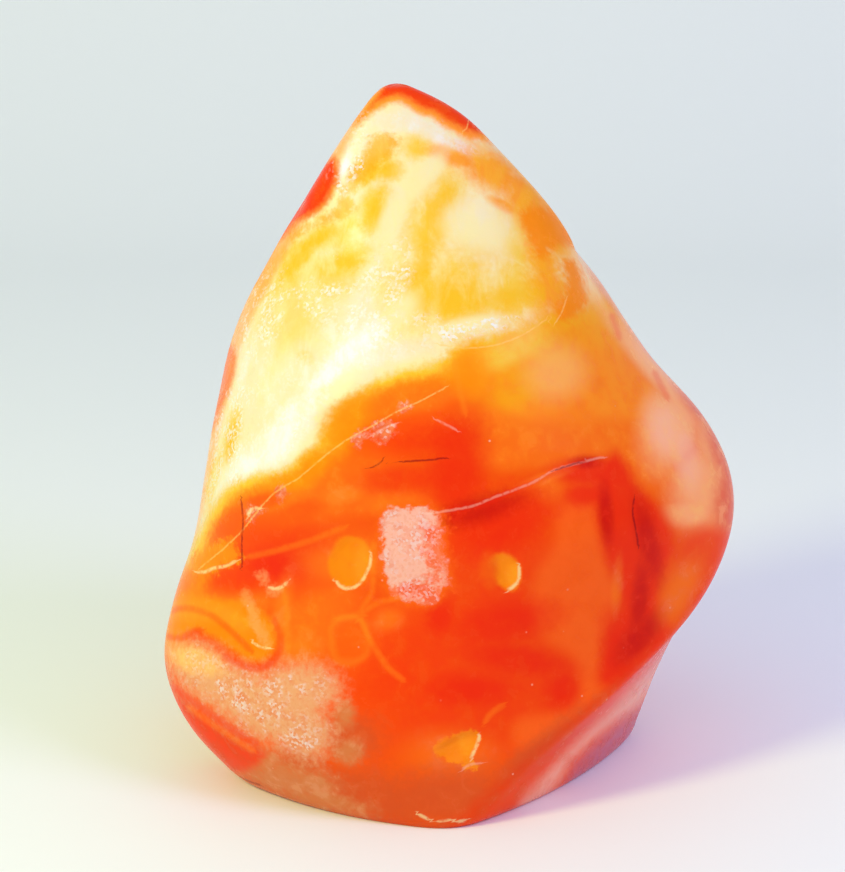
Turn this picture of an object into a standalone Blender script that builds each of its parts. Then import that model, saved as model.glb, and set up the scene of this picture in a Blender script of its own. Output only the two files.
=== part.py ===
"""Carnelian flame carving: one piece of polished stone, ground to a four-sided flame that twists as it rises.

Metres in Blender, millimetres in the values below, +Z up, +X to the right, -Y towards the viewer.
The origin is on the surface that the stone stands on, under the middle of the stone.
"""

import bisect

import bmesh
import bpy
from mathutils import Vector

MM = 0.001

# The four ridges, each named after the corner of the base where it starts. They turn anticlockwise
# as they climb, seen from above: the front ridge ends at the back, the left one crosses the front.
RIDGES = ("front", "right", "back", "left")

# Each row is one height of the stone: the height, where the four ridges are as (x, y), how far the
# four sides stand out beyond the straight lines between the ridges (front to right, right to back,
# back to left, left to front), and how far from each ridge its rounding starts.
SECTIONS = (
    (0, (3.6, -31.3), (30.8, 4), (-2.5, 20), (-29.8, -11.2), (3.2, 2.5, 2.5, 4), (4, 5, 5, 6)),
    (8, (12.2, -28.6), (34, 8.5), (-9, 23), (-36.5, -12), (3, 3.5, 3.5, 8), (3, 5, 6, 6)),
    (16, (24.2, -22.3), (37, 14.5), (-16.5, 24.5), (-39.4, -11), (3, 5, 4, 12.5), (2.5, 5, 6, 6)),
    (24, (36.3, -12), (36, 20.5), (-23, 22.5), (-37.4, -10.5), (3, 6, 3.5, 17), (2.5, 5, 6, 6)),
    (32, (42.6, -4.5), (32, 26.5), (-28, 18), (-33, -13.2), (3.5, 6, 3, 18.5), (3.5, 6, 6, 6)),
    (40, (43.9, -1), (26, 30.5), (-30.5, 12), (-27, -18.5), (4, 5.5, 3.5, 17), (5, 6, 6, 6)),
    (48, (40.9, 2.5), (18.5, 32), (-31.3, 6.5), (-19.5, -23.3), (3.5, 5.5, 3.6, 13.5), (6, 6, 6, 6)),
    (56, (33.4, 6), (10.5, 30.5), (-30.3, 2.5), (-10.6, -25.2), (3.5, 6, 4.3, 11), (6, 6, 5, 6)),
    (60, (30.3, 7.5), (6.5, 29), (-29.4, 1), (-4, -24.6), (3.5, 6, 5.5, 9), (5.5, 6, 4.5, 6)),
    (64, (27.2, 8.5), (3, 27), (-28, -0.3), (4.8, -22.2), (3.5, 6, 7.5, 6.5), (5, 6, 4, 5.5)),
    (68, (24.3, 9), (-0.5, 25), (-26.2, -1.5), (13.6, -17.4), (3.5, 5.5, 9.5, 3.5), (5, 5.5, 4, 5)),
    (72, (20.5, 9.5), (-3.5, 22.5), (-23.8, -2.5), (19.9, -9.2), (3.5, 5, 10.5, 1), (4.5, 5, 4, 4.5)),
    (76, (15, 10.5), (-5.5, 20), (-21.3, -3.2), (20, -2.8), (3, 4.5, 10.5, 1), (4.5, 4.5, 3.5, 4)),
    (80, (9.5, 11.5), (-6.5, 17), (-18.8, -3.8), (17.6, -0.5), (2.5, 3.5, 8.5, 1), (4, 4, 3, 3)),
    (88, (1.5, 9.5), (-7, 11.5), (-13.9, -4), (10.4, 0.8), (1.5, 2, 4.5, 1), (3, 3, 2.5, 2.5)),
    (94, (-2.5, 6.5), (-6.5, 7), (-9.9, -2.5), (4, 1.5), (0.8, 0.8, 2, 0.8), (2, 2, 2, 2)),
    (97, (-4, 4), (-6, 4), (-7.3, 0.2), (-2.8, 1), (0.4, 0.3, 0.4, 0.4), (0.8, 0.8, 0.8, 0.8)),
)

# The ground edge round the foot, and how far the blunt tip rises above the last section.
FOOT_EDGE = 0.8
TIP_RISE = 0.3

# The middle of the stone's bounding box, which goes over the origin.
CENTRE = (2.7, 0.4)

# How finely the surface is divided: rows up the stone, points round each ridge, and points across
# each side, with more on the two broad ones.
ROWS = 50
RIDGE_POINTS = 5
SIDE_POINTS = (6, 6, 14, 24)


def between(heights, values, height):
    """The value at this height on a smooth curve through the given ones."""
    last = len(heights) - 2
    i = min(max(bisect.bisect_right(heights, height) - 1, 0), last)
    before, after = max(i - 1, 0), min(i + 2, last + 1)
    span = heights[i + 1] - heights[i]
    u = (height - heights[i]) / span
    start = (values[i + 1] - values[before]) / (heights[i + 1] - heights[before]) * span
    end = (values[after] - values[i]) / (heights[after] - heights[i]) * span
    return (
        (2 * u**3 - 3 * u**2 + 1) * values[i]
        + (u**3 - 2 * u**2 + u) * start
        + (3 * u**2 - 2 * u**3) * values[i + 1]
        + (u**3 - u**2) * end
    )


def bent(start, middle, end, t):
    """A point on the curve that leaves start towards middle and arrives at end."""
    return (1 - t) ** 2 * start + 2 * t * (1 - t) * middle + t**2 * end


def outline(height):
    """The closed outline of the stone at this height, anticlockwise from the front ridge."""
    heights = [section[0] for section in SECTIONS]
    count = len(RIDGES)
    corners = [
        between(heights, [Vector(section[1 + ridge]) for section in SECTIONS], height)
        for ridge in range(count)
    ]
    bulges, roundings = (
        [between(heights, [section[column][i] for section in SECTIONS], height) for i in range(count)]
        for column in (1 + count, 2 + count)
    )

    middles, starts, ends = [], [], []
    for side in range(count):
        here, there = corners[side], corners[(side + 1) % count]
        along = there - here
        outward = Vector((along.y, -along.x)).normalized()
        middles.append((here + there) / 2 + 2 * bulges[side] * outward)
        starts.append(min(roundings[side] / along.length, 0.45))
        ends.append(1 - min(roundings[(side + 1) % count] / along.length, 0.45))

    points = []
    for ridge in range(count):
        previous, following = (ridge - 1) % count, (ridge + 1) % count
        into = bent(corners[previous], middles[previous], corners[ridge], ends[previous])
        out = bent(corners[ridge], middles[ridge], corners[following], starts[ridge])
        for i in range(RIDGE_POINTS):
            points.append(bent(into, corners[ridge], out, i / (RIDGE_POINTS - 1)))
        for i in range(1, SIDE_POINTS[ridge] + 1):
            t = starts[ridge] + (ends[ridge] - starts[ridge]) * i / (SIDE_POINTS[ridge] + 1)
            points.append(bent(corners[ridge], middles[ridge], corners[following], t))
    return points


def add_row(mesh, points, height):
    offset = Vector(CENTRE)
    return [mesh.verts.new((*((point - offset) * MM), height * MM)) for point in points]


def carve_flame():
    """The stone's surface: a stack of outlines joined row by row, closed by a flat foot and a blunt tip."""
    mesh = bmesh.new()
    top = SECTIONS[-1][0]
    sole = outline(0.0)
    middle = sum(sole, Vector((0.0, 0.0))) / len(sole)
    inset = [point - (point - middle).normalized() * FOOT_EDGE for point in sole]
    rows = [add_row(mesh, inset, 0.0)]
    for row in range(ROWS + 1):
        height = FOOT_EDGE + (top - FOOT_EDGE) * row / ROWS
        rows.append(add_row(mesh, outline(height), height))
    count = len(sole)
    for lower, upper in zip(rows, rows[1:]):
        for i in range(count):
            j = (i + 1) % count
            mesh.faces.new((lower[i], lower[j], upper[j], upper[i]))
    mesh.faces.new(reversed(rows[0]))
    crown = outline(top)
    peak = add_row(mesh, [sum(crown, Vector((0.0, 0.0))) / count], top + TIP_RISE)[0]
    for i in range(count):
        mesh.faces.new((rows[-1][i], rows[-1][(i + 1) % count], peak))
    return mesh


def polished_carnelian():
    """Orange-red chalcedony with a high polish."""
    material = bpy.data.materials.new("polished carnelian")
    material.use_nodes = True
    shader = material.node_tree.nodes["Principled BSDF"]
    shader.inputs["Base Color"].default_value = (0.86, 0.16, 0.03, 1.0)
    shader.inputs["Roughness"].default_value = 0.15
    shader.inputs["Metallic"].default_value = 0.0
    return material


def main():
    for old in list(bpy.data.objects):
        bpy.data.objects.remove(old)
    carving = carve_flame()
    data = bpy.data.meshes.new("carnelian_flame")
    carving.to_mesh(data)
    carving.free()
    data.shade_smooth()
    data.materials.append(polished_carnelian())
    flame = bpy.data.objects.new("carnelian_flame", data)
    bpy.context.scene.collection.objects.link(flame)


if __name__ == "__main__":
    main()
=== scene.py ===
import math
from collections import namedtuple

import bmesh
import bpy
import numpy as np
from bpy.props import FloatProperty, FloatVectorProperty, PointerProperty
from mathutils import Matrix, Vector, noise


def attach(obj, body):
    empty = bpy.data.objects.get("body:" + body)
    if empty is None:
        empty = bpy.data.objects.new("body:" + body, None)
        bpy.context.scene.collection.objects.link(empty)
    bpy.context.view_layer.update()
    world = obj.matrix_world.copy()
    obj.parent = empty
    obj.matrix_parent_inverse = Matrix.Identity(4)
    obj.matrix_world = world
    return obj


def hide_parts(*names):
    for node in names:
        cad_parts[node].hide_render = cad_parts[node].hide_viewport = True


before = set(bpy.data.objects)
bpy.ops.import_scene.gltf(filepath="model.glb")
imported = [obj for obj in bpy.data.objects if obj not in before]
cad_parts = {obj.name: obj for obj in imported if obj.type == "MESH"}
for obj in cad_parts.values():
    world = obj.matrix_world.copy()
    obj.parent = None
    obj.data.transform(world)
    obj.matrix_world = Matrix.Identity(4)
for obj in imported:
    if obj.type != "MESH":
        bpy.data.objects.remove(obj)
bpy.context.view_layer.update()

bl_info = {
    "name": "Carnelian Flame",
    "version": (1, 0, 0),
    "blender": (4, 5, 0),
    "location": "View3D > Sidebar > Carnelian Flame",
    "description": "A flame carving of polished carnelian, coloured band by band, on a pale studio table",
    "category": "Add Mesh",
}

MM = 0.001

# Where the stone is seen from: how far away, how far above level, the point looked at, and the
# picture's size in pixels with its scale at that point.
VIEW_DISTANCE = 450 * MM
VIEW_ELEVATION = math.radians(18)
VIEW_AIM = Vector((-3.9, -0.4, 47)) * MM
PICTURE = (845, 872)
PIXELS_PER_MM = 7.05
SENSOR_WIDTH = 36.0

# Colour fields of the stone with clear edges. Each outline is a closed smooth curve over the face
# towards the viewer, as (across, down) in pixels of the picture.
FIELDS = {
    "body": (
        (
            (192, 566), (198, 551), (206, 535), (216, 515), (226, 500), (238, 490), (258, 482), (280, 480),
            (292, 474), (302, 465), (314, 456), (326, 444), (332, 430), (340, 415), (350, 406), (362, 400),
            (375, 391), (390, 383), (410, 377), (430, 374), (445, 368), (452, 362), (464, 352), (485, 346),
            (510, 338), (545, 328), (590, 320), (640, 300), (800, 300), (860, 560), (800, 860), (460, 930),
            (120, 880), (40, 720), (100, 645), (160, 626), (170, 610), (181, 590),
        ),
    ),
    "orange_patches": (
        (
            (520, 212), (545, 207), (562, 220), (576, 243), (555, 246), (548, 255), (540, 259), (533, 250),
            (525, 235),
        ),
        (
            (562, 262), (574, 260), (582, 275), (587, 290), (585, 305), (575, 316), (565, 321), (557, 318),
            (556, 308), (560, 300), (566, 290), (566, 275),
        ),
    ),
    "left_strip": (
        (
            (228, 342), (235, 350), (236, 366), (233, 382), (227, 398), (220, 414), (212, 432), (200, 450),
            (204, 410), (210, 380), (220, 350),
        ),
    ),
    # Painted glow: the warm fringe along the left edge of the pale upper face, where light comes through the
    # thin edge.
    "left_edge_glow": (
        (
            (372, 84), (362, 118), (342, 160), (318, 204), (292, 246), (271, 286), (250, 326), (238, 360),
            (229, 400), (219, 440), (210, 480), (203, 515), (194, 552), (170, 552), (182, 500), (196, 430),
            (206, 370), (220, 320), (246, 272), (276, 222), (312, 156), (350, 84),
        ),
    ),
    # Painted glow and reflection: the dusty pink fringe along the right edge, where light comes through the
    # thin edge and the pale room is reflected at a grazing angle.
    "right_edge_glow_and_reflection": (
        (
            (576, 244), (592, 280), (612, 306), (640, 336), (668, 370), (694, 402), (708, 424), (722, 462),
            (724, 500), (720, 530), (750, 530), (752, 470), (736, 420), (700, 376), (664, 332), (624, 286),
            (592, 236),
        ),
    ),
    "crown": (
        (
            (352, 124), (366, 104), (375, 90), (383, 76), (405, 74), (440, 84), (475, 105), (502, 142),
            (484, 139), (472, 138), (462, 135), (452, 129), (442, 124), (434, 117), (422, 114), (412, 108),
            (404, 103), (396, 101), (386, 104), (374, 111), (362, 121),
        ),
    ),
    "left_cap": (
        (
            (331, 158), (337, 165), (337, 180), (333, 188), (330, 196), (325, 204), (316, 212), (308, 217),
            (300, 220), (292, 226), (284, 236), (272, 238), (296, 196), (312, 172),
        ),
    ),
    "streaks": (
        (
            (376, 136), (400, 138), (398, 146), (385, 160), (370, 175), (358, 189), (348, 191), (345, 186),
            (352, 170), (362, 155),
        ),
        (
            (340, 200), (350, 197), (352, 207), (343, 217), (320, 226), (296, 238), (288, 236), (310, 222),
            (333, 211),
        ),
    ),
    "lobe": (
        (
            (562, 506), (590, 498), (600, 520), (600, 540), (608, 568), (616, 591), (616, 612), (608, 634),
            (603, 655), (599, 684), (612, 676), (600, 700), (570, 730), (520, 750), (516, 720), (556, 712),
            (578, 692), (572, 656), (545, 638), (534, 622), (532, 600), (538, 570), (552, 552), (556, 534),
            (554, 516),
        ),
    ),
    "right_red": (
        (
            (612, 452), (622, 458), (632, 474), (640, 486), (657, 505), (669, 527), (673, 550), (666, 568),
            (658, 591), (661, 614), (672, 634), (650, 670), (618, 690), (600, 680), (603, 655), (609, 636),
            (620, 618), (618, 590), (609, 566), (600, 536), (596, 510), (598, 480),
        ),
    ),
    "right_tail": ((
        (690, 534), (710, 528), (735, 540), (730, 580), (705, 610), (690, 600), (694, 575), (680, 556),
    ),),
    "nick_gold": (
        (
            (193, 558), (204, 550), (216, 546), (232, 536), (238, 548), (240, 558), (226, 566), (210, 570),
            (200, 570),
        ),
    ),
    "thumb": (
        (
            (334, 548), (340, 538), (352, 536), (364, 541), (371, 555), (368, 570), (357, 586), (345, 589),
            (337, 582), (330, 574), (328, 560),
        ),
    ),
    "oval": (
        ((490, 560), (498, 554), (510, 556), (519, 566), (519, 582), (512, 590), (503, 588), (494, 578)),
    ),
    "window": (
        (
            (384, 518), (391, 510), (408, 508), (424, 506), (436, 513), (440, 530), (441, 545), (446, 566),
            (446, 584), (434, 600), (414, 602), (400, 598), (388, 588), (384, 570), (382, 545),
        ),
    ),
    "square": (
        (
            (331, 626), (340, 617), (356, 616), (366, 624), (369, 642), (368, 656), (358, 663), (342, 664),
            (332, 656), (330, 640),
        ),
    ),
    "chip": (
        (
            (434, 747), (442, 742), (456, 734), (470, 730), (481, 733), (478, 746), (470, 758), (478, 768),
            (472, 771), (462, 763), (448, 761), (438, 754),
        ),
    ),
    "quartz": (
        (
            (172, 648), (190, 643), (205, 648), (220, 655), (235, 665), (250, 672), (265, 675), (280, 668),
            (300, 663), (320, 668), (335, 680), (340, 692), (333, 702), (324, 708), (325, 720), (331, 736),
            (325, 752), (308, 757), (290, 750), (272, 742), (255, 737), (240, 727), (220, 713), (205, 703),
            (190, 692), (178, 680), (170, 665),
        ),
    ),
    "swirl": (
        (
            (150, 600), (170, 594), (190, 592), (212, 598), (234, 600), (252, 606), (266, 616), (274, 632),
            (273, 648), (262, 660), (248, 660), (232, 650), (218, 640), (206, 634), (196, 629), (180, 634),
            (150, 634),
        ),
    ),
    "wedge": (
        ((243, 592), (249, 594), (258, 613), (266, 632), (270, 646), (262, 648), (254, 632), (247, 612)),
        ((254, 573), (262, 571), (269, 574), (269, 586), (262, 586), (256, 580)),
        ((266, 583), (276, 587), (287, 583), (281, 592), (272, 598), (266, 593)),
    ),
    "crumbs": (
        ((372, 428), (380, 422), (392, 424), (394, 432), (386, 442), (376, 440)),
        ((352, 438), (360, 432), (368, 434), (362, 444), (354, 446)),
        ((274, 489), (282, 486), (287, 492), (282, 498), (274, 497)),
        ((249, 510), (257, 507), (263, 511), (258, 519), (250, 519)),
        ((400, 408), (406, 404), (411, 408), (404, 413)),
    ),
    "low_band": (
        (
            (168, 684), (178, 690), (192, 702), (207, 713), (224, 724), (242, 736), (258, 746), (266, 756),
            (240, 772), (200, 760), (160, 720), (150, 690),
        ),
    ),
    "edge_red": (
        (
            (440, 840), (470, 806), (490, 788), (514, 768), (545, 744), (572, 716), (600, 692), (648, 652),
            (672, 632), (700, 596), (716, 612), (676, 654), (624, 704), (584, 744), (540, 788), (500, 822),
            (470, 846),
        ),
    ),
    # Painted reflection: the pale pink stripe along the lower right face is the floor reflected in it.
    "underside_floor_reflection": (
        (
            (520, 806), (548, 772), (584, 736), (620, 702), (652, 668), (682, 636), (696, 640), (668, 676),
            (640, 706), (612, 724), (590, 742), (570, 762), (545, 800),
        ),
    ),
    # Painted shade: the mauve of the lower right face, turned down from the light, with the lavender floor
    # reflected in it.
    "underside_shade_and_reflection": (
        (
            (560, 800), (574, 768), (594, 746), (616, 726), (640, 708), (668, 690), (660, 740), (620, 790),
            (570, 810),
        ),
    ),
}

# Clouds of colour with no clear edge, as ovals in the same pixels: the middle (across, down), half
# the length, half the width and the tilt of the long axis in degrees, clockwise from level. The
# colour is at half strength on the oval's line.
CLOUDS = {
    "cream": (
        (348, 152, 30, 14, -62), (395, 122, 44, 10, 5), (455, 144, 26, 6, 20), (260, 350, 50, 14, -72),
        (262, 440, 60, 40, -60), (222, 505, 40, 14, -70), (300, 380, 44, 28, -40), (205, 520, 40, 10, -75),
        (330, 250, 14, 9, 0), (345, 320, 30, 26, -20), (395, 352, 44, 10, -12),
    ),
    "gold": (
        (455, 290, 66, 44, 0), (515, 292, 50, 36, 0), (428, 225, 22, 44, 15), (450, 193, 18, 30, 30),
        (416, 147, 15, 12, 0), (322, 236, 36, 12, -25), (288, 262, 40, 20, -40), (336, 262, 34, 16, -20),
        (374, 168, 26, 14, -45), (374, 208, 16, 28, 20), (232, 436, 8, 26, 10), (212, 480, 6, 30, 15),
        (520, 240, 20, 40, -20), (345, 225, 20, 10, -40), (330, 240, 24, 14, -20),
    ),
    "veil": ((292, 302, 38, 46, 20), (330, 282, 30, 20, -20), (305, 356, 8, 8, 0)),
    "amber": (
        (494, 172, 40, 20, 32), (528, 200, 50, 22, 55), (550, 290, 30, 20, 70), (505, 206, 20, 6, 30),
        (560, 320, 30, 20, -20), (262, 264, 30, 6, -60), (456, 158, 26, 9, 20), (545, 262, 20, 16, 60),
        (555, 236, 34, 16, 60),
    ),
    "honey": (
        (424, 262, 10, 30, 20), (440, 206, 8, 24, 30), (318, 240, 26, 6, -25), (300, 258, 24, 7, -45),
        (372, 172, 18, 6, -45), (230, 444, 4, 18, 14), (500, 300, 40, 12, -10), (350, 262, 12, 7, 0),
        (390, 170, 12, 9, 0), (376, 212, 8, 20, 20), (450, 300, 30, 20, 0),
    ),
    "pale_core": (
        (480, 226, 34, 20, 15), (422, 180, 34, 8, -50), (394, 214, 10, 24, 30), (470, 324, 30, 7, -10),
        (400, 310, 20, 12, -40),
    ),
    # Painted highlight: these clouds on the upper left face stand for the bright light on that face, laid
    # over milky quartz.
    "chalk_and_highlight": (
        (352, 350, 34, 12, -40), (284, 434, 48, 15, -52), (245, 468, 22, 11, -50), (345, 165, 14, 4, -70),
        (330, 372, 26, 8, -40),
    ),
    "frost": ((254, 702, 46, 16, 32), (290, 732, 34, 13, 20), (292, 688, 24, 14, 0)),
    "sparkle": (
        (378, 292, 56, 22, -58), (396, 330, 40, 16, -10), (262, 320, 50, 20, -70), (470, 330, 50, 8, -12),
        (352, 172, 24, 8, -60), (225, 440, 60, 20, -75), (320, 300, 30, 20, 0),
    ),
    "window_red": ((436, 556, 12, 34, 0), (424, 592, 22, 9, 0), (394, 594, 8, 8, 0)),
    "glints": ((362, 562, 8, 18, 10), (513, 576, 6, 12, 0), (467, 745, 8, 10, 0)),
    "oval_shade": ((489, 570, 9, 15, 0),),
    "flank_gold": ((530, 344, 26, 12, -20), (500, 356, 40, 12, -20)),
    "flank_amber": (
        (478, 372, 20, 28, 10), (515, 385, 34, 44, 0), (560, 345, 60, 24, -10), (600, 330, 30, 40, 0),
        (540, 336, 30, 10, -30),
    ),
    "flank_tangerine": ((605, 390, 64, 50, 30), (640, 400, 40, 26, 50), (560, 420, 50, 20, 0)),
    "flank_glow": (
        (540, 438, 80, 20, -4), (610, 432, 40, 14, 0), (500, 452, 30, 14, 0), (646, 462, 36, 36, 0),
    ),
    "flank_pale": ((556, 372, 28, 26, 0), (584, 276, 30, 6, 58)),
    # Partly painted highlight: the pale peach on the right flank is milky chalcedony with a pinkish
    # highlight painted over it.
    "flank_peach_and_highlight": (
        (672, 428, 28, 42, 10), (702, 486, 30, 40, 0), (655, 372, 70, 9, 50), (712, 450, 36, 12, 70),
        (692, 512, 24, 15, 0),
    ),
    "flank_glare": ((664, 428, 16, 28, -20), (686, 455, 12, 30, -10), (636, 330, 62, 5, 54)),
    # Painted glow and reflection in thin streaks along the right edge.
    "flank_rose_glow_and_reflection": (
        (722, 446, 50, 13, 72), (700, 408, 34, 9, 48), (660, 362, 26, 4, 48), (728, 500, 14, 30, 0),
    ),
    "rim_glow": (
        (345, 420, 34, 14, -50), (312, 466, 22, 12, -60), (470, 372, 20, 22, 0), (290, 482, 24, 8, 0),
    ),
    "flame_patch": ((230, 526, 13, 26, 38), (262, 502, 22, 8, -10), (300, 512, 26, 10, -20)),
    "body_glow": (
        (330, 490, 60, 28, -22), (395, 400, 60, 14, -15), (420, 398, 60, 16, -10), (480, 420, 36, 14, 10),
        (270, 500, 34, 14, -10), (545, 452, 60, 14, -8), (385, 500, 40, 12, -10), (330, 625, 36, 40, 0),
        (388, 620, 20, 14, -20), (230, 600, 60, 12, 0), (180, 590, 30, 12, -60), (550, 488, 14, 14, 0),
        (430, 425, 30, 8, -10), (300, 630, 30, 30, 0), (335, 560, 44, 26, 0), (495, 568, 34, 20, 20),
        (360, 640, 40, 30, 0),
    ),
    "blush": (
        (342, 496, 20, 7, -8), (330, 562, 30, 14, 0), (282, 610, 8, 36, 10), (300, 650, 20, 14, 0),
        (450, 752, 40, 22, 0), (388, 620, 14, 10, -20), (545, 478, 26, 5, -20), (682, 588, 36, 14, -60),
        (617, 585, 5, 26, 4),
    ),
    "body_red": (
        (285, 556, 56, 32, -10), (425, 436, 46, 18, -10), (500, 600, 70, 80, 0), (420, 670, 80, 70, 0),
        (470, 700, 120, 54, 0), (560, 690, 50, 40, 0), (240, 580, 30, 14, 0), (400, 480, 40, 14, 0),
        (480, 660, 90, 60, 0),
    ),
    "scarlet": (
        (458, 470, 28, 52, 8), (500, 525, 56, 30, -25), (275, 566, 28, 14, 0), (588, 472, 34, 14, 0),
        (505, 622, 50, 20, -10), (562, 690, 16, 20, 0), (585, 495, 22, 12, 0), (440, 616, 14, 20, 0),
        (470, 690, 40, 16, 0), (520, 660, 50, 14, 10), (620, 642, 18, 32, -10),
    ),
    "deep_red": (
        (474, 511, 48, 13, -16), (640, 636, 30, 12, -50), (640, 600, 8, 40, 5), (648, 540, 10, 40, -14),
        (606, 515, 7, 28, -4), (586, 462, 14, 6, 0),
    ),
    "low_rust": (
        (360, 800, 120, 32, 8), (440, 800, 80, 30, -6), (540, 752, 70, 14, -38), (350, 738, 30, 22, 0),
        (300, 762, 30, 14, 10),
    ),
    "low_tan": (
        (285, 778, 50, 18, 15), (262, 757, 20, 8, 30), (320, 800, 50, 10, 12), (345, 715, 10, 14, 0),
        (310, 782, 24, 10, 10), (348, 752, 14, 12, 0),
    ),
    "quartz_light": ((194, 660, 26, 12, 20),),
    "swirl_gold": ((185, 610, 34, 10, 6), (232, 618, 22, 8, 30)),
}

# Thin lines of the stone, as open smooth curves in the same pixels.
LINES = {
    "cracks": (
        ((370, 468), (376, 466), (382, 461)),
        ((400, 462), (415, 461), (430, 460), (445, 458)),
        ((556, 470), (565, 467), (580, 462)),
        ((634, 500), (633, 515), (636, 530), (638, 545)),
        ((241, 500), (243, 520), (242, 540), (242, 565)),
        ((238, 776), (248, 781), (260, 785)),
    ),
    "creases": (
        ((480, 506), (498, 498), (518, 489), (540, 480), (556, 472), (575, 466)),
        ((255, 742), (235, 730), (212, 714), (192, 700), (176, 688)),
        ((275, 622), (281, 640), (276, 658), (262, 668), (244, 666), (226, 657)),
        ((166, 636), (180, 638), (190, 633), (200, 630)),
        ((160, 614), (186, 608), (212, 616), (232, 632), (250, 650)),
        ((612, 316), (616, 327), (619, 337)),
        ((655, 373), (661, 385), (667, 397)),
    ),
    "veins": (
        ((455, 362), (458, 380), (465, 412)),
        ((248, 557), (266, 553), (286, 548), (312, 540), (332, 532), (345, 527)),
        (
            (374, 545), (373, 570), (372, 592), (364, 606), (361, 620), (367, 634), (376, 650), (388, 668),
            (402, 679),
        ),
        ((362, 612), (378, 603), (400, 597)),
        ((361, 614), (350, 617), (338, 619)),
        ((190, 708), (212, 724), (236, 740), (252, 750)),
        ((485, 722), (491, 713), (503, 705)),
        ((284, 590), (287, 615), (288, 650)),
    ),
    "pale_cracks": (
        (
            (420, 514), (440, 512), (470, 507), (490, 499), (511, 491), (534, 482), (552, 471), (575, 464),
            (602, 457),
        ),
        ((437, 420), (446, 425), (456, 430)),
        ((372, 436), (380, 430), (396, 424)),
        ((462, 770), (470, 765), (482, 763)),
    ),
    "seam": (
        (
            (445, 388), (420, 401), (396, 412), (372, 426), (345, 441), (322, 458), (300, 477), (277, 491),
            (259, 509), (241, 532), (222, 550), (200, 568),
        ),
        ((440, 345), (470, 348), (500, 344), (524, 334), (545, 320)),
        ((464, 131), (467, 127), (468, 122)),
        ((556, 322), (562, 312), (566, 300)),
    ),
    # Painted highlights: pale rims on the walls of the hollows that face the light. The last three are pale
    # crumbs along the foot.
    "rim_highlights_and_crumbs": (
        ((519, 568), (518, 582), (508, 590)),
        ((480, 737), (476, 748), (471, 757)),
        ((371, 556), (368, 570), (358, 585), (346, 589), (337, 583)),
        ((198, 572), (206, 572), (214, 568), (226, 566), (236, 561)),
        ((270, 588), (278, 589), (287, 583)),
        ((255, 643), (261, 647), (268, 648)),
        ((248, 515), (253, 508), (260, 508)),
        ((420, 815), (428, 819)),
        ((438, 821), (450, 820)),
        ((458, 822), (466, 820)),
    ),
}

# What the middle of a cloud counts as, in mm of depth.
CLOUD_DEPTH = 3.0

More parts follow.
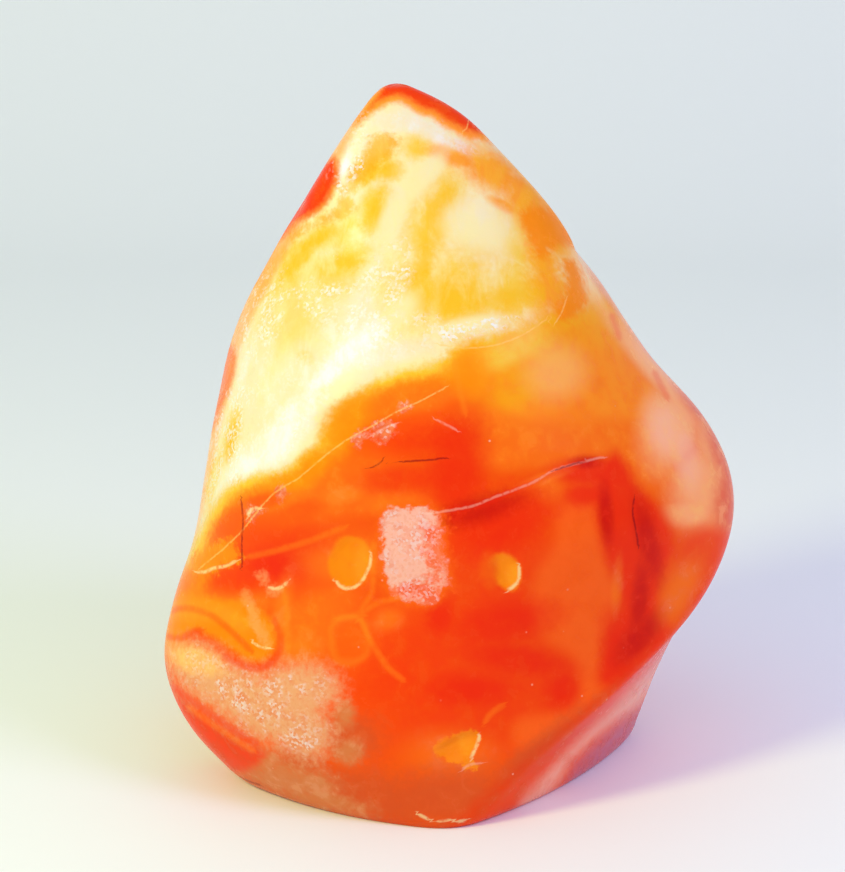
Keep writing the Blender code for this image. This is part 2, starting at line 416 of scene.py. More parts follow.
# The coats that colour the stone, one over the other: the field or cloud, its colour and the colour
# that clouds it, how strong it is, how soft and how ragged its edge is, and how far it grows past its
# outline, in mm.
Coat = namedtuple("Coat", "field colour cloud strength soft ragged grow")
COATS = (
    Coat("cream", "cream", "chalk_and_highlight", 0.8, 4.0, 1.8, 0.0),
    Coat("gold", "gold", "straw", 0.95, 4.0, 2.2, 0.0),
    Coat("veil", "gold", "straw", 0.6, 4.0, 1.8, 0.0),
    Coat("amber", "amber", "orange", 0.95, 4.0, 1.6, 0.0),
    Coat("honey", "honey", "gold", 0.8, 4.0, 3.0, 0.0),
    Coat("pale_core", "straw", "cream", 0.9, 4.0, 1.8, 0.0),
    # This coat is painted highlight over milky quartz.
    Coat("chalk_and_highlight", "chalk_and_highlight", "cream", 0.95, 4.0, 3.0, 0.0),
    Coat("streaks", "amber", "gold", 0.8, 1.6, 2.4, 0.0),
    # Painted glow along the thin left edge.
    Coat("left_edge_glow", "tangerine", "peach", 0.6, 1.2, 0.6, -0.2),
    Coat("left_strip", "glow", "tangerine", 0.9, 1.2, 0.8, 0.0),
    Coat("crown", "tangerine", "amber", 0.95, 1.2, 0.8, 0.2),
    Coat("crown", "red", "flame", 1.0, 1.4, 0.8, -0.9),
    Coat("left_cap", "glow", "amber", 0.9, 1.0, 0.8, 0.3),
    Coat("left_cap", "red", "flame", 1.0, 1.0, 0.8, -0.4),
    Coat("body", "lemon", "gold", 0.95, 2.0, 1.6, 1.3),
    Coat("body", "orange", "amber", 1.0, 2.2, 1.6, -0.4),
    Coat("body", "flame", "red", 1.0, 3.0, 1.6, -3.2),
    Coat("flank_amber", "amber", "orange", 0.95, 4.0, 0.8, 0.0),
    Coat("flank_gold", "gold", "amber", 0.9, 4.0, 0.8, 0.0),
    Coat("flank_tangerine", "tangerine", "glow", 0.95, 4.0, 0.8, 0.0),
    Coat("flank_glow", "glow", "tangerine", 0.9, 4.0, 0.8, 0.0),
    Coat("flank_pale", "apricot", "peach", 0.5, 4.0, 0.6, 0.0),
    # Peach chalcedony on the right flank, with painted highlight.
    Coat("flank_peach_and_highlight", "peach", "apricot", 0.8, 4.0, 0.6, 0.0),
    Coat("flank_glare", "petal", "peach", 0.35, 4.0, 0.5, 0.0),
    # The next two coats paint glow and reflection along the right edge.
    Coat("right_edge_glow_and_reflection", "rose", "peach", 0.6, 1.6, 0.6, 0.0),
    Coat("flank_rose_glow_and_reflection", "rose", "peach", 0.95, 4.0, 1.4, 0.0),
    Coat("orange_patches", "orange", "tangerine", 0.95, 1.8, 1.6, 0.0),
    Coat("body_glow", "glow", "tangerine", 0.85, 4.0, 1.4, 0.0),
    Coat("rim_glow", "orange", "amber", 0.9, 4.0, 1.4, 0.0),
    Coat("body_red", "red", "flame", 0.9, 4.0, 1.4, 0.0),
    Coat("flame_patch", "flame", "glow", 0.95, 3.0, 1.4, 0.0),
    Coat("lobe", "ember", "flame", 0.95, 2.8, 1.0, 0.0),
    Coat("scarlet", "scarlet", "red", 0.85, 4.0, 1.4, 0.0),
    Coat("right_red", "scarlet", "red", 0.9, 2.6, 0.9, 0.0),
    Coat("right_tail", "red", "flame", 0.8, 3.0, 0.9, 0.0),
    Coat("deep_red", "deep_red", "scarlet", 0.75, 4.0, 1.2, 0.0),
    Coat("blush", "tangerine", "peach", 0.3, 4.0, 1.0, 0.0),
    Coat("nick_gold", "orange", "amber", 0.8, 1.2, 3.0, 0.0),
    Coat("low_rust", "rust", "clay", 0.85, 4.0, 2.0, 0.0),
    Coat("low_tan", "tan", "quartz", 0.85, 4.0, 3.0, 0.0),
    Coat("low_band", "red", "rust", 0.9, 1.8, 1.4, 0.0),
    Coat("edge_red", "red", "clay", 0.6, 2.6, 0.8, 0.0),
    # Painted reflection of the floor along the lower right face.
    Coat("underside_floor_reflection", "petal", "rose", 0.7, 2.6, 0.8, 0.0),
    # Painted shade and reflection on the lower right face.
    Coat("underside_shade_and_reflection", "mauve", "rust", 0.85, 2.6, 0.8, 0.0),
    Coat("swirl", "orange", "tangerine", 0.9, 1.6, 1.2, 0.0),
    Coat("swirl_gold", "tangerine", "amber", 0.9, 4.0, 1.2, 0.0),
    Coat("quartz", "quartz", "clay", 0.9, 4.6, 4.0, 0.3),
    Coat("quartz_light", "apricot", "quartz", 0.7, 4.0, 2.0, 0.0),
    Coat("window", "glow", "flame", 0.6, 2.0, 2.0, 0.9),
    Coat("window", "pink", "rose", 1.0, 0.9, 2.4, 0.0),
    Coat("window_red", "ember", "red", 0.8, 3.0, 8.0, 0.0),
    Coat("square", "tangerine", "glow", 0.3, 1.0, 0.8, 0.2),
    Coat("square", "flame", "glow", 0.8, 1.2, 0.8, -0.6),
    Coat("thumb", "orange", "glow", 0.95, 1.0, 0.5, 0.0),
    Coat("oval", "orange", "tangerine", 0.9, 1.0, 0.5, 0.0),
    Coat("oval_shade", "flame", "glow", 0.9, 4.0, 0.5, 0.0),
    Coat("chip", "orange", "tangerine", 0.8, 0.6, 1.6, 0.0),
    Coat("glints", "tangerine", "amber", 0.8, 4.0, 1.0, 0.0),
    Coat("wedge", "peach", "tangerine", 0.4, 1.0, 1.6, 0.0),
    Coat("crumbs", "rose", "peach", 0.8, 0.6, 2.0, 0.0),
)

# The thin lines: their kind, colour, half width and softness in mm, strength, and how worn they are.
Stroke = namedtuple("Stroke", "line colour half_width soft strength wear")
STROKES = (
    Stroke("creases", "scarlet", 0.10, 0.70, 0.4, 0.2),
    Stroke("veins", "tangerine", 0.05, 0.7, 0.3, 0.3),
    Stroke("pale_cracks", "petal", 0.03, 0.26, 0.32, 0.6),
    Stroke("seam", "apricot", 0.03, 0.16, 0.5, 0.7),
    # Painted highlights on the lit rims of the hollows, and pale crumbs at the foot.
    Stroke("rim_highlights_and_crumbs", "straw", 0.05, 0.32, 0.6, 0.7),
    Stroke("cracks", "crimson", 0.04, 0.18, 0.7, 0.5),
)

# The coats of the upper half, clouded by bands that lean this many degrees and run on this share of
# their width, and where the quartz is sugary, above the red body and in it, and how strongly it shows.
BANDED = ("cream", "gold", "veil", "amber", "honey", "pale_core", "chalk_and_highlight", "streaks")
BAND_LEAN = -35.0
BAND_STRETCH = 0.4
SUGARY_ABOVE = (("chalk_and_highlight", 0.9), ("cream", 0.4), ("sparkle", 0.9))
SUGARY_BELOW = (("quartz", 0.3), ("frost", 0.7), ("window", 0.5), ("crumbs", 0.5))

# The bright freckles in the red: how far apart they are and how far across, in mm.
FRECKLE_GAP = 2.4
FRECKLE_SIZE = 0.22

# How many rounds of smoothing take the last ripples off the divided surface, and how many more off
# the ridge that crosses the front between these heights, in mm, where the faces are slanted.
POLISHING_ROUNDS = 8
CROSSING = (52, 82)
CROSSING_ROUNDS = 100

# Shallow hollows ground into the stone: the field and how deep it is, in mm.
HOLLOWS = (
    ("thumb", 0.35), ("oval", 0.35), ("square", 0.25), ("chip", 0.5), ("wedge", 0.2), ("window", 0.1),
    ("crumbs", 0.2),
)


def linear(hex_colour):
    """A colour written as sRGB hex, as the linear values that Blender works in."""
    channels = (int(hex_colour[i:i + 2], 16) / 255 for i in (1, 3, 5))
    return tuple(c / 12.92 if c <= 0.04045 else ((c + 0.055) / 1.055) ** 2.4 for c in channels)


def colour_setting(name, description, hex_colour):
    return FloatVectorProperty(
        name=name, description=description, subtype="COLOR", size=3, min=0, max=1,
        default=linear(hex_colour),
    )


class FlameStoneSettings(bpy.types.PropertyGroup):
    """The stone's colours and the sizes of its grain and hollows."""

    cream: colour_setting("Cream", "Milky quartz of the upper face", "#ECD8B4")
    # This colour is also the painted highlight on the upper left face, as well as the colour of the milky
    # quartz grains.
    chalk_and_highlight: colour_setting("Chalk", "The whitest quartz, where the light floods in", "#EAE8EC")
    straw: colour_setting("Straw", "Pale yellow chalcedony", "#F0DC9E")
    gold: colour_setting("Gold", "Golden yellow chalcedony", "#F0BE38")
    amber: colour_setting("Amber", "Streaks of honey amber", "#F6A00C")
    honey: colour_setting("Honey", "Deep yellow in thin clouds", "#F0B414")
    lemon: colour_setting("Lemon", "The bright rim above the red body", "#EDB814")
    orange: colour_setting("Orange", "The rim between yellow and red", "#F68600")
    tangerine: colour_setting("Tangerine", "Clear orange beside the red body", "#FF8E1A")
    glow: colour_setting("Glow", "Where the red thins and glows orange", "#F66C0C")
    ember: colour_setting("Ember", "The soft orange glow inside the red", "#F75E12")
    flame: colour_setting("Flame", "The common orange-red of the body", "#F05400")
    red: colour_setting("Red", "Denser red", "#EE3800")
    scarlet: colour_setting("Scarlet", "The strongest red", "#EA2200")
    deep_red: colour_setting("Deep red", "The darkest red, by the right edge", "#C40200")
    crimson: colour_setting("Crimson", "Iron-stained cracks", "#8C000C")
    apricot: colour_setting("Apricot", "Pale orange chalcedony", "#FFC468")
    # On the right flank this colour also carries painted highlight.
    peach: colour_setting("Peach", "Milky orange chalcedony near the right edge", "#FFB270")
    # This colour is also used for painted reflections: the floor's stripe along the lower right face and the
    # glare on the right flank.
    petal: colour_setting("Petal", "Milky pink chalcedony", "#F8C0A4")
    # Along the right edge this colour is painted glow and reflection. Elsewhere it tints the crumbs, the
    # window and the lower stripe.
    rose: colour_setting("Rose", "Dusty pink along the right edge", "#E4603A")
    pink: colour_setting("Pink", "The window of pink quartz", "#F2AE98")
    quartz: colour_setting("Quartz", "Sugary quartz at the lower left", "#E4A474")
    clay: colour_setting("Clay", "Brownish orange low on the stone", "#DE6228")
    rust: colour_setting("Rust", "Brownish red low on the stone", "#D24E1E")
    tan: colour_setting("Tan", "Brownish foot", "#D27A44")
    # This colour is painted shade: the lower right face in shade, tinted by the floor reflected in it.
    mauve: colour_setting("Mauve", "The lower right side, turned from the light", "#BC6A7C")
    grain: FloatProperty(
        name="Quartz grain", description="Width of one grain of quartz", default=0.35 * MM, unit="LENGTH"
    )
    hollow_depth: FloatProperty(
        name="Hollow depth", description="How deep the ground hollows are, as a share of the real ones",
        default=1.0, min=0, subtype="FACTOR",
    )


COLOURS = tuple(name for name in FlameStoneSettings.__annotations__ if name not in ("grain", "hollow_depth"))


class FlameStageSettings(bpy.types.PropertyGroup):
    """The table, the light and the camera."""

    table: colour_setting("Table", "The pale table and backdrop", "#F4F5F0")
    key: colour_setting("Key light", "Colour of the warm main light on the left", "#F3FFA4")
    side: colour_setting("Side light", "Colour of the violet light on the right", "#C1B4FF")
    fill: colour_setting("Fill light", "Colour of the light from all round", "#DEE7F9")
    key_power: FloatProperty(
        name="Key power", description="Power of the main light", default=1.05, unit="POWER"
    )
    side_power: FloatProperty(
        name="Side power", description="Power of the side light", default=0.83, unit="POWER"
    )
    fill_strength: FloatProperty(
        name="Fill strength", description="Strength of the light all round", default=0.76
    )
    distance: FloatProperty(
        name="Camera distance", description="From the camera to the stone", default=VIEW_DISTANCE,
        unit="LENGTH",
    )


def eye_position():
    return VIEW_AIM + VIEW_DISTANCE * Vector((0, -math.cos(VIEW_ELEVATION), math.sin(VIEW_ELEVATION)))


def seen_from_the_front(points):
    """Where each point falls in the picture, as (across, down) in pixels."""
    into = np.array((VIEW_AIM - eye_position()).normalized())
    right = np.array((1.0, 0.0, 0.0))
    up = np.cross(right, into)
    away = points - np.array(eye_position())
    focal = PIXELS_PER_MM / MM * VIEW_DISTANCE
    depth = away @ into
    across = PICTURE[0] / 2 + focal * (away @ right) / depth
    down = PICTURE[1] / 2 - focal * (away @ up) / depth
    return np.stack((across, down), axis=1)


def smooth_curve(points, closed):
    """Points along a smooth curve through the given ones."""
    steps = 5
    count = len(points)
    corners = np.array(points, float)
    spans = count if closed else count - 1
    curve = []
    for i in range(spans):
        if closed:
            a, b, c, d = (corners[(i + k) % count] for k in (-1, 0, 1, 2))
        else:
            a, b, c, d = (corners[min(max(i + k, 0), count - 1)] for k in (-1, 0, 1, 2))
        for step in range(steps):
            t = step / steps
            square = 2 * a - 5 * b + 4 * c - d
            cube = 3 * b - a - 3 * c + d
            curve.append(0.5 * (2 * b + (c - a) * t + square * t**2 + cube * t**3))
    if not closed:
        curve.append(corners[-1])
    return np.array(curve)


def distance_to_curve(spots, curve, closed):
    """For each spot, the distance to the curve and the side of it, as +1 on the left hand."""
    starts = curve if closed else curve[:-1]
    ends = np.roll(curve, -1, axis=0) if closed else curve[1:]
    nearest = np.full(len(spots), np.inf)
    side = np.ones(len(spots))
    for start, end in zip(starts, ends):
        along = end - start
        offset = spots - start
        t = np.clip(offset @ along / max(along @ along, 1e-9), 0, 1)
        gap = np.hypot(*(offset - t[:, None] * along).T)
        closer = gap < nearest
        cross = along[0] * offset[:, 1] - along[1] * offset[:, 0]
        side[closer] = np.sign(cross[closer])
        nearest = np.minimum(nearest, gap)
    return nearest, side


def inside_curve(spots, curve):
    inside = np.zeros(len(spots), bool)
    for start, end in zip(curve, np.roll(curve, -1, axis=0)):
        if start[1] != end[1]:
            crosses = (start[1] > spots[:, 1]) != (end[1] > spots[:, 1])
            reach = start[0] + (spots[:, 1] - start[1]) * (end[0] - start[0]) / (end[1] - start[1])
            inside ^= crosses & (spots[:, 0] < reach)
    return inside


def depth_in_field(spots, outlines):
    """How far each spot is inside the nearest outline, in mm, negative outside it."""
    far = 14 * PIXELS_PER_MM
    deepest = np.full(len(spots), -far)
    for outline in outlines:
        curve = smooth_curve(outline, closed=True)
        low, high = curve.min(axis=0) - far, curve.max(axis=0) + far
        near = ((spots > low) & (spots < high)).all(axis=1)
        gap, _ = distance_to_curve(spots[near], curve, closed=True)
        signed = np.where(inside_curve(spots[near], curve), gap, -gap)
        deepest[near] = np.maximum(deepest[near], signed)
    return deepest / PIXELS_PER_MM


def depth_in_clouds(spots, ovals):
    """How deep each spot is in the nearest oval, where the line is 0 and the middle CLOUD_DEPTH."""
    deepest = np.full(len(spots), -4.0)
    for across, down, half_length, half_width, tilt in ovals:
        turn = math.radians(tilt)
        offset = spots - (across, down)
        along = offset @ (math.cos(turn), math.sin(turn)) / half_length
        aside = offset @ (-math.sin(turn), math.cos(turn)) / half_width
        deepest = np.maximum(deepest, 1 - np.hypot(along, aside))
    return deepest * CLOUD_DEPTH


def offset_from_lines(spots, lines):
    """How far each spot is to one side or the other of the nearest line, in mm."""
    far = 4 * PIXELS_PER_MM
    nearest = np.full(len(spots), far)
    offset = np.full(len(spots), far)
    for line in lines:
        curve = smooth_curve(line, closed=False)
        low, high = curve.min(axis=0) - far, curve.max(axis=0) + far
        near = np.flatnonzero(((spots > low) & (spots < high)).all(axis=1))
        gap, side = distance_to_curve(spots[near], curve, closed=False)
        closer = gap < nearest[near]
        nearest[near[closer]] = gap[closer]
        offset[near[closer]] = (gap * side)[closer]
    return offset / PIXELS_PER_MM, nearest / PIXELS_PER_MM


def ramp(values, low, high):
    """0 up to low, 1 from high, with a soft start and end between them."""
    t = np.clip((values - low) / (high - low), 0, 1)
    return t * t * (3 - 2 * t)


def vertex_values(mesh):
    """The places of the mesh's vertices and the directions that they face."""
    places = np.zeros(len(mesh.vertices) * 3)
    facing = np.zeros(len(mesh.vertices) * 3)
    mesh.vertices.foreach_get("co", places)
    mesh.vertex_normals.foreach_get("vector", facing)
    return places.reshape(-1, 3), facing.reshape(-1, 3)


def refined_surface():
    """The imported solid's surface as a new mesh: its triangles paired, divided twice and smoothed."""
    carving = bmesh.new()
    carving.from_mesh(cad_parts["carnelian_flame"].data)
    bmesh.ops.remove_doubles(carving, verts=carving.verts, dist=0.005 * MM)
    bmesh.ops.join_triangles(
        carving, faces=carving.faces, angle_face_threshold=math.radians(40),
        angle_shape_threshold=math.radians(60),
    )
    carving.normal_update()
    crease = carving.edges.layers.float.new("crease_edge")
    for edge in carving.edges:
        downward = [face.normal.z < -0.99 for face in edge.link_faces]
        if any(downward) and not all(downward):
            edge[crease] = 1.0
    mesh = bpy.data.meshes.new("coarse_stone")
    carving.to_mesh(mesh)
    carving.free()
    if "custom_normal" in mesh.attributes:
        mesh.attributes.remove(mesh.attributes["custom_normal"])
    coarse = bpy.data.objects.new("coarse_stone", mesh)
    bpy.context.scene.collection.objects.link(coarse)
    subdivision = coarse.modifiers.new("Fine surface", "SUBSURF")
    subdivision.levels = subdivision.render_levels = 2
    fine = bpy.data.meshes.new_from_object(coarse.evaluated_get(bpy.context.evaluated_depsgraph_get()))
    bpy.data.objects.remove(coarse)
    polished = bmesh.new()
    polished.from_mesh(fine)
    axes = {"use_axis_x": True, "use_axis_y": True, "use_axis_z": True}
    above_foot = [vert for vert in polished.verts if vert.co.z > 2 * MM]
    for _ in range(POLISHING_ROUNDS):
        bmesh.ops.smooth_vert(polished, verts=above_foot, factor=0.5, **axes)
    low, high = (height * MM for height in CROSSING)
    crossing = [vert for vert in above_foot if low < vert.co.z < high and vert.co.y < 0]
    slanted = {face for vert in crossing for face in vert.link_faces}
    triangles = bmesh.ops.triangulate(polished, faces=list(slanted), quad_method="SHORT_EDGE")["faces"]
    inner = {edge for face in triangles for edge in face.edges}
    bmesh.ops.beautify_fill(polished, faces=triangles, edges=list(inner), method="ANGLE")
    for _ in range(CROSSING_ROUNDS):
        bmesh.ops.smooth_vert(polished, verts=crossing, factor=0.5, **axes)
    polished.to_mesh(fine)
    polished.free()
    return fine


def spots_on_the_stone(places, facing):
    """Where each vertex takes its markings from. Past the outline that the viewer sees, the spots
    drift with a slow noise, so that the bands run on round the stone unevenly."""
    spots = seen_from_the_front(places)
    towards = np.array(eye_position()) - places
    towards /= np.linalg.norm(towards, axis=1)[:, None]
    seen = (towards * facing).sum(axis=1)
    hidden = 1 - ramp(seen, -0.4, -0.05)
    scale = 26 * MM
    drift = 75
    for i in np.flatnonzero(hidden > 0):
        spot = Vector(places[i]) / scale
        shift = noise.noise_vector(spot, noise_basis="PERLIN_ORIGINAL")
        spots[i] += np.array(shift[:2]) * drift * hidden[i]
    return spots, ramp(seen, 0.0, 0.2)


def carve_hollows(places, facing, depths, in_view, settings):
    """Grinds the shallow hollows into the surface."""
    for field, depth in HOLLOWS:
        sunk = ramp(depths[field], 0.0, 1.0) * in_view * depth * MM * settings.hollow_depth
        places -= facing * sunk[:, None]


def add(tree, kind, inputs=(), **settings):
    """Adds a node, gives it its settings, and fills its inputs from values, nodes or sockets. A node
    stands for the first output that it offers."""
    node = tree.nodes.new(kind)
    for name, value in settings.items():
        setattr(node, name, value)
    for key, value in dict(inputs).items():
        if isinstance(value, bpy.types.Node):
            value = next(socket for socket in value.outputs if socket.enabled)
        if isinstance(value, bpy.types.NodeSocket):
            tree.links.new(value, node.inputs[key])
        else:
            node.inputs[key].default_value = value
    return node


def polished_carnelian(settings):
    """Banded chalcedony, cut, ground and polished to a gloss. Light goes a few millimetres in, so the
    colours glow and their edges are soft, while the sugary quartz shows grain by grain. A faint emission in
    the paint's own colour is painted glow, and besides the stone's own colours the paint holds painted
    highlights, reflections and shade."""
    material = bpy.data.materials.new("polished carnelian")
    material.use_nodes = True
    tree = material.node_tree
    tree.nodes.clear()
    palette = {name: (*getattr(settings, name), 1.0) for name in COLOURS}
    place = add(tree, "ShaderNodeTexCoord").outputs["Object"]
    stored = {
        name: add(tree, "ShaderNodeAttribute", attribute_name=name).outputs["Fac"]
        for name in (*FIELDS, *CLOUDS, *(line + part for line in LINES for part in ("_offset", "_reach")))
    }
    soft_step = {"interpolation_type": "SMOOTHSTEP"}

    # Clouds as wide as a finger, mottling of a few millimetres and specks of one, which also fray the
    # edges of the coats. The bands of the upper half lean to the right as they climb.
    clouds = add(
        tree, "ShaderNodeTexNoise",
        {"Vector": place, "Scale": 1 / (9 * MM), "Detail": 3, "Roughness": 0.6, "Distortion": 0.6},
    )
    mottle = add(
        tree, "ShaderNodeTexNoise",
        {"Vector": place, "Scale": 1 / (2.6 * MM), "Detail": 3, "Roughness": 0.6, "Distortion": 0.3},
    )
    speckle = add(
        tree, "ShaderNodeTexNoise", {"Vector": place, "Scale": 1 / (0.8 * MM), "Detail": 3, "Roughness": 0.6}
    )
    leaning = add(
        tree, "ShaderNodeMapping",
        {
            "Vector": place, "Rotation": (0, math.radians(BAND_LEAN), 0),
            "Scale": (1.0, BAND_STRETCH, BAND_STRETCH),
        },
    )
    bands = add(
        tree, "ShaderNodeTexNoise",
        {"Vector": leaning, "Scale": 1 / (3.2 * MM), "Detail": 5, "Roughness": 0.6, "Distortion": 0.4},
    )
    shaken = add(tree, "ShaderNodeMath", {0: mottle, 1: speckle}, operation="ADD")
    wobble = add(tree, "ShaderNodeMath", {0: shaken, 1: 1.0}, operation="SUBTRACT")
    banding = add(
        tree, "ShaderNodeMapRange", {"Value": bands, "From Min": 0.42, "From Max": 0.7, "To Max": 0.7},
        **soft_step,
    )
    clouding = add(
        tree, "ShaderNodeMapRange", {"Value": mottle, "From Min": 0.4, "From Max": 0.75, "To Max": 0.5},
        **soft_step,
    )

    # The coats and the thin lines, over a ground of straw and cream.
    ground = add(
        tree, "ShaderNodeMapRange", {"Value": clouds, "From Min": 0.35, "From Max": 0.7}, **soft_step
    )
    paint = add(
        tree, "ShaderNodeMix", {0: ground, 6: palette["straw"], 7: palette["cream"]}, data_type="RGBA"
    )
    for coat in COATS:
        edge = add(
            tree, "ShaderNodeMath", {0: wobble, 1: coat.ragged, 2: stored[coat.field]},
            operation="MULTIPLY_ADD",
        )
        start, end = -coat.grow - coat.soft / 2, -coat.grow + coat.soft / 2
        cover = add(
            tree, "ShaderNodeMapRange",
            {"Value": edge, "From Min": start, "From Max": end, "To Max": coat.strength}, **soft_step,
        )
        share = banding if coat.field in BANDED else clouding
        mixed = add(
            tree, "ShaderNodeMix", {0: share, 6: palette[coat.colour], 7: palette[coat.cloud]},
            data_type="RGBA",
        )
        paint = add(tree, "ShaderNodeMix", {0: cover, 6: paint, 7: mixed}, data_type="RGBA")
    for stroke in STROKES:
        aside = add(
            tree, "ShaderNodeMath", {0: wobble, 1: 0.25, 2: stored[stroke.line + "_offset"]},
            operation="MULTIPLY_ADD",
        )
        distance = add(tree, "ShaderNodeMath", {0: aside}, operation="ABSOLUTE")
        edge = stroke.half_width + stroke.soft
        thin = add(
            tree, "ShaderNodeMapRange",
            {"Value": distance, "From Min": edge, "From Max": stroke.half_width, "To Max": stroke.strength},
            **soft_step,
        )
        reach = stored[stroke.line + "_reach"]
        ends = add(
            tree, "ShaderNodeMapRange", {"Value": reach, "From Min": 1.1, "From Max": 0.5}, **soft_step
        )
        worn = add(
            tree, "ShaderNodeMapRange",
            {"Value": speckle, "From Min": 0.36, "From Max": 0.52, "To Min": 1 - stroke.wear, "To Max": 1.0},
            **soft_step,
        )
        drawn = add(tree, "ShaderNodeMath", {0: thin, 1: ends}, operation="MULTIPLY")
        cover = add(tree, "ShaderNodeMath", {0: drawn, 1: worn}, operation="MULTIPLY")
        paint = add(tree, "ShaderNodeMix", {0: cover, 6: paint, 7: palette[stroke.colour]}, data_type="RGBA")

    # Sugary quartz: grains side by side, some of them milky and some clear.
    above_body = add(
        tree, "ShaderNodeMapRange", {"Value": stored["body"], "From Min": 0.0, "From Max": -2.0}, **soft_step
    )
    in_body = add(
        tree, "ShaderNodeMapRange", {"Value": stored["body"], "From Min": 0.5, "From Max": 3.0}, **soft_step
    )
    sugar = 0.0
    for fields, where in ((SUGARY_ABOVE, above_body), (SUGARY_BELOW, 1.0)):
        for field, strength in fields:
            edge = add(
                tree, "ShaderNodeMath", {0: wobble, 1: 2.0, 2: stored[field]}, operation="MULTIPLY_ADD"
            )
            here = add(
                tree, "ShaderNodeMapRange",
                {"Value": edge, "From Min": -0.8, "From Max": 0.8, "To Max": strength}, **soft_step,
            )
            here = add(tree, "ShaderNodeMath", {0: here, 1: where}, operation="MULTIPLY")
            sugar = add(tree, "ShaderNodeMath", {0: sugar, 1: here}, operation="MAXIMUM")
    grains = add(tree, "ShaderNodeTexVoronoi", {"Vector": place, "Scale": 1 / settings.grain})
    tone = add(tree, "ShaderNodeSeparateColor", {"Color": grains.outputs["Color"]})
    bright = add(
        tree, "ShaderNodeMapRange", {"Value": tone, "From Min": 0.3, "From Max": 1.0, "To Max": 0.8},
        **soft_step,
    )
    patchy = add(
        tree, "ShaderNodeMapRange", {"Value": mottle, "From Min": 0.38, "From Max": 0.62}, **soft_step
    )
    milky = add(tree, "ShaderNodeMath", {0: bright, 1: patchy}, operation="MULTIPLY")
    milky = add(tree, "ShaderNodeMath", {0: milky, 1: sugar}, operation="MULTIPLY")
    paint = add(tree, "ShaderNodeMix", {0: milky, 6: paint, 7: palette["chalk_and_highlight"]}, data_type="RGBA")
    dark = add(
        tree, "ShaderNodeMapRange", {"Value": tone, "From Min": 0.3, "From Max": 0.05, "To Max": 0.3},
        **soft_step,
    )
    clear = add(tree, "ShaderNodeMath", {0: dark, 1: in_body}, operation="MULTIPLY")
    clear = add(tree, "ShaderNodeMath", {0: clear, 1: sugar}, operation="MULTIPLY")
    paint = add(tree, "ShaderNodeMix", {0: clear, 6: paint, 7: palette["clay"]}, data_type="RGBA")

    # Freckles: bright pinpoints of quartz scattered through the red.
    scatter = add(tree, "ShaderNodeTexVoronoi", {"Vector": place, "Scale": 1 / (FRECKLE_GAP * MM)})
    pick = add(tree, "ShaderNodeSeparateColor", {"Color": scatter.outputs["Color"]}).outputs["Green"]
    chosen = add(tree, "ShaderNodeMapRange", {"Value": pick, "From Min": 0.7, "From Max": 0.9}, **soft_step)
    size = FRECKLE_SIZE / FRECKLE_GAP
    point = add(
        tree, "ShaderNodeMapRange",
        {"Value": scatter.outputs["Distance"], "From Min": size, "From Max": 0.3 * size, "To Max": 0.6},
        **soft_step,
    )
    freckle = add(tree, "ShaderNodeMath", {0: point, 1: chosen}, operation="MULTIPLY")
    freckle = add(tree, "ShaderNodeMath", {0: freckle, 1: in_body}, operation="MULTIPLY")
    paint = add(tree, "ShaderNodeMix", {0: freckle, 6: paint, 7: palette["petal"]}, data_type="RGBA")

    # The polish is even, but the grains stand out a few hundredths of a millimetre, as do faint ripples.
    ripples = add(tree, "ShaderNodeMath", {0: clouds, 1: 3.0, 2: speckle}, operation="MULTIPLY_ADD")
    rough = add(tree, "ShaderNodeMath", {0: grains.outputs["Distance"], 1: sugar}, operation="MULTIPLY")
    relief = add(tree, "ShaderNodeMath", {0: rough, 1: 1.4, 2: ripples}, operation="MULTIPLY_ADD")
    surface = add(tree, "ShaderNodeBump", {"Strength": 0.5, "Distance": 0.05 * MM, "Height": relief})
    matt = add(tree, "ShaderNodeMath", {0: sugar, 1: 0.6, 2: mottle}, operation="MULTIPLY_ADD")
    gloss = add(
        tree, "ShaderNodeMapRange",
        {"Value": matt, "From Min": 0.3, "From Max": 1.2, "To Min": 0.2, "To Max": 0.42},
    )
    shader = add(
        tree, "ShaderNodeBsdfPrincipled",
        {
            "Base Color": paint, "Roughness": gloss, "IOR": 1.54, "Specular IOR Level": 0.08,
            "Normal": surface,
            "Subsurface Weight": 0.25, "Subsurface Radius": (1.0, 0.4, 0.15), "Subsurface Scale": 2 * MM,
            # Painted glow: a faint emission in the paint's own colour stands in for light that passes
            # through the stone.
            "Emission Color": paint, "Emission Strength": 0.05,
        },
    )
    add(tree, "ShaderNodeOutputMaterial", {"Surface": shader})
    return material


class FLAME_OT_stone(bpy.types.Operator):
    """Grind and polish the flame, and colour it band by band"""

    bl_idname = "flame.stone"
    bl_label = "Polished Flame"

    def execute(self, context):
        settings = context.scene.flame_stone
        mesh = refined_surface()
        mesh.name = "polished_flame"
        places, facing = vertex_values(mesh)
        spots, in_view = spots_on_the_stone(places, facing)
        depths = {field: depth_in_field(spots, outlines) for field, outlines in FIELDS.items()}
        depths.update({cloud: depth_in_clouds(spots, ovals) for cloud, ovals in CLOUDS.items()})
        carve_hollows(places, facing, depths, in_view, settings)
        mesh.vertices.foreach_set("co", places.ravel())
        values = dict(depths)
        for kind, lines in LINES.items():
            values[kind + "_offset"], values[kind + "_reach"] = offset_from_lines(spots, lines)
            values[kind + "_reach"] += 3 * (1 - in_view)
        for name, numbers in values.items():
            attribute = mesh.attributes.new(name, "FLOAT", "POINT")
            attribute.data.foreach_set("value", numbers.astype(np.float32))
        mesh.shade_smooth()
        mesh.materials.clear()
        mesh.materials.append(polished_carnelian(settings))
        mesh.update()
        stone = bpy.data.objects.new("polished_flame", mesh)
        context.scene.collection.objects.link(stone)
        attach(stone, "root")
        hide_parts("carnelian_flame")
        return {"FINISHED"}


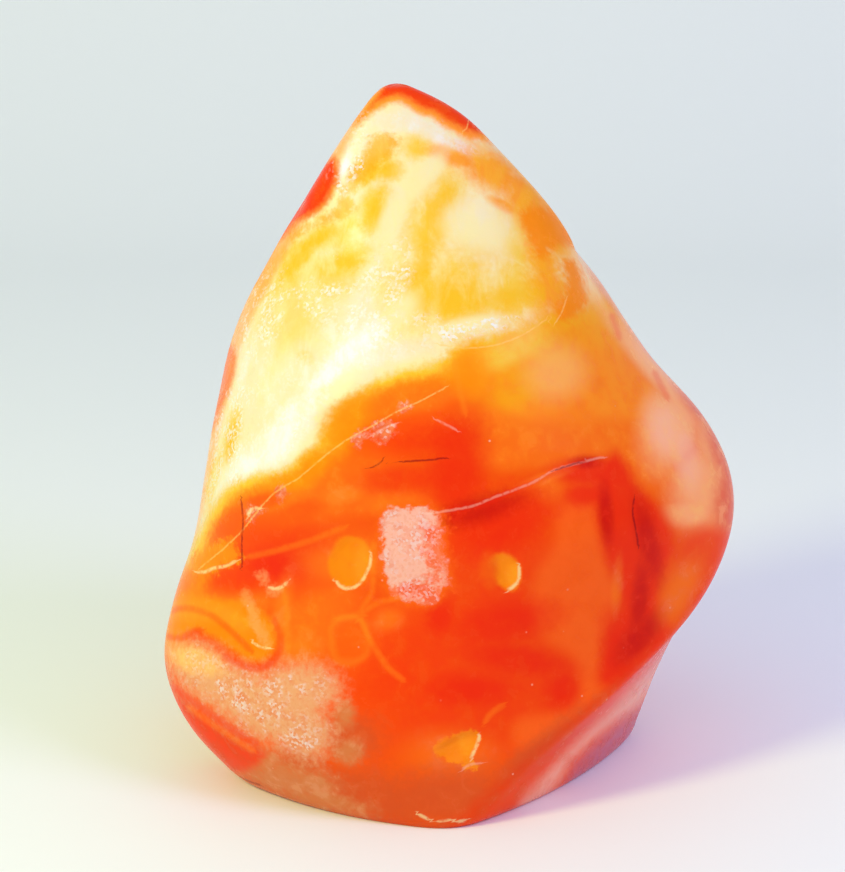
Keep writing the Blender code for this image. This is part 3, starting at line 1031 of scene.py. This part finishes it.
def pointed_at(place, target):
    """A matrix that puts something at a place and turns its -Z towards the target."""
    turn = (target - place).to_track_quat("-Z", "Y").to_matrix().to_4x4()
    return Matrix.Translation(place) @ turn


def area_light(name, place, target, size, power, colour):
    data = bpy.data.lights.new(name, "AREA")
    data.shape = "DISK"
    data.size = size
    data.energy = power
    data.color = colour
    light = bpy.data.objects.new(name, data)
    light.matrix_world = pointed_at(place, target)
    bpy.context.scene.collection.objects.link(light)


def table_and_backdrop():
    """A table that curves up into its backdrop in one sweep."""
    half_width, front, bend, radius, height = 1.5, -1.2, 0.27, 0.12, 1.5
    gap = 0.05 * MM
    sweep = bmesh.new()
    left = sweep.verts.new((-half_width, front, -gap))
    right = sweep.verts.new((half_width, front, -gap))
    edge = sweep.edges.new((left, right))
    grown = bmesh.ops.extrude_edge_only(sweep, edges=[edge])["geom"]
    bmesh.ops.translate(
        sweep, verts=[v for v in grown if isinstance(v, bmesh.types.BMVert)], vec=(0, bend - front, 0)
    )
    edge = next(e for e in grown if isinstance(e, bmesh.types.BMEdge))
    turned = bmesh.ops.spin(
        sweep, geom=[edge, *edge.verts], cent=(0, bend, radius - gap), axis=(1, 0, 0),
        angle=math.radians(85), steps=16,
    )["geom_last"]
    edge = next(e for e in turned if isinstance(e, bmesh.types.BMEdge))
    grown = bmesh.ops.extrude_edge_only(sweep, edges=[edge])["geom"]
    bmesh.ops.translate(
        sweep, verts=[v for v in grown if isinstance(v, bmesh.types.BMVert)], vec=(0, 0.1, height)
    )
    bmesh.ops.recalc_face_normals(sweep, faces=sweep.faces)
    mesh = bpy.data.meshes.new("table")
    sweep.to_mesh(mesh)
    sweep.free()
    mesh.shade_smooth()
    return mesh


def matt_card(settings):
    """White card with no gloss: it gives a plain pale ground that takes a soft shadow."""
    material = bpy.data.materials.new("matt card")
    material.use_nodes = True
    shader = material.node_tree.nodes["Principled BSDF"]
    shader.inputs["Base Color"].default_value = (*settings.table, 1.0)
    shader.inputs["Roughness"].default_value = 0.6
    shader.inputs["Specular IOR Level"].default_value = 0.2
    return material


class FLAME_OT_stage(bpy.types.Operator):
    """Set the table, the lights and the camera"""

    bl_idname = "flame.stage"
    bl_label = "Studio Stage"

    def execute(self, context):
        scene = context.scene
        settings = scene.flame_stage
        mesh = table_and_backdrop()
        mesh.materials.append(matt_card(settings))
        table = bpy.data.objects.new("table", mesh)
        scene.collection.objects.link(table)

        middle = Vector((0, 0, 0.045))
        area_light("Key", Vector((-0.29, -0.23, 0.30)), middle, 0.12, settings.key_power, settings.key)
        area_light("Side", Vector((0.30, -0.19, 0.30)), middle, 0.2, settings.side_power, settings.side)

        world = bpy.data.worlds.new("Studio")
        world.use_nodes = True
        sky = world.node_tree.nodes["Background"]
        sky.inputs["Color"].default_value = (*settings.fill, 1.0)
        sky.inputs["Strength"].default_value = settings.fill_strength
        scene.world = world

        lens = bpy.data.cameras.new("Camera")
        lens.sensor_fit = "HORIZONTAL"
        lens.sensor_width = SENSOR_WIDTH
        lens.lens = PIXELS_PER_MM / MM * VIEW_DISTANCE / PICTURE[0] * SENSOR_WIDTH
        lens.clip_start = 0.01
        camera = bpy.data.objects.new("Camera", lens)
        eye = VIEW_AIM + (eye_position() - VIEW_AIM).normalized() * settings.distance
        camera.matrix_world = pointed_at(eye, VIEW_AIM)
        scene.collection.objects.link(camera)
        scene.camera = camera
        scene.view_settings.view_transform = "Standard"
        return {"FINISHED"}


class FLAME_PT_panel(bpy.types.Panel):
    """Lists the pieces and their settings"""

    bl_label = "Carnelian Flame"
    bl_idname = "FLAME_PT_panel"
    bl_space_type = "VIEW_3D"
    bl_region_type = "UI"
    bl_category = "Carnelian Flame"

    def draw(self, context):
        layout = self.layout
        for operator, settings in (
            (FLAME_OT_stone, context.scene.flame_stone),
            (FLAME_OT_stage, context.scene.flame_stage),
        ):
            box = layout.box()
            box.operator(operator.bl_idname)
            for name in settings.__annotations__:
                box.prop(settings, name)


CLASSES = (FlameStoneSettings, FlameStageSettings, FLAME_OT_stone, FLAME_OT_stage, FLAME_PT_panel)


def register():
    for item in CLASSES:
        bpy.utils.register_class(item)
    bpy.types.Scene.flame_stone = PointerProperty(type=FlameStoneSettings)
    bpy.types.Scene.flame_stage = PointerProperty(type=FlameStageSettings)


def unregister():
    del bpy.types.Scene.flame_stage
    del bpy.types.Scene.flame_stone
    for item in reversed(CLASSES):
        bpy.utils.unregister_class(item)


def main():
    register()
    bpy.ops.flame.stone()
    bpy.ops.flame.stage()


if __name__ == "__main__":
    main()
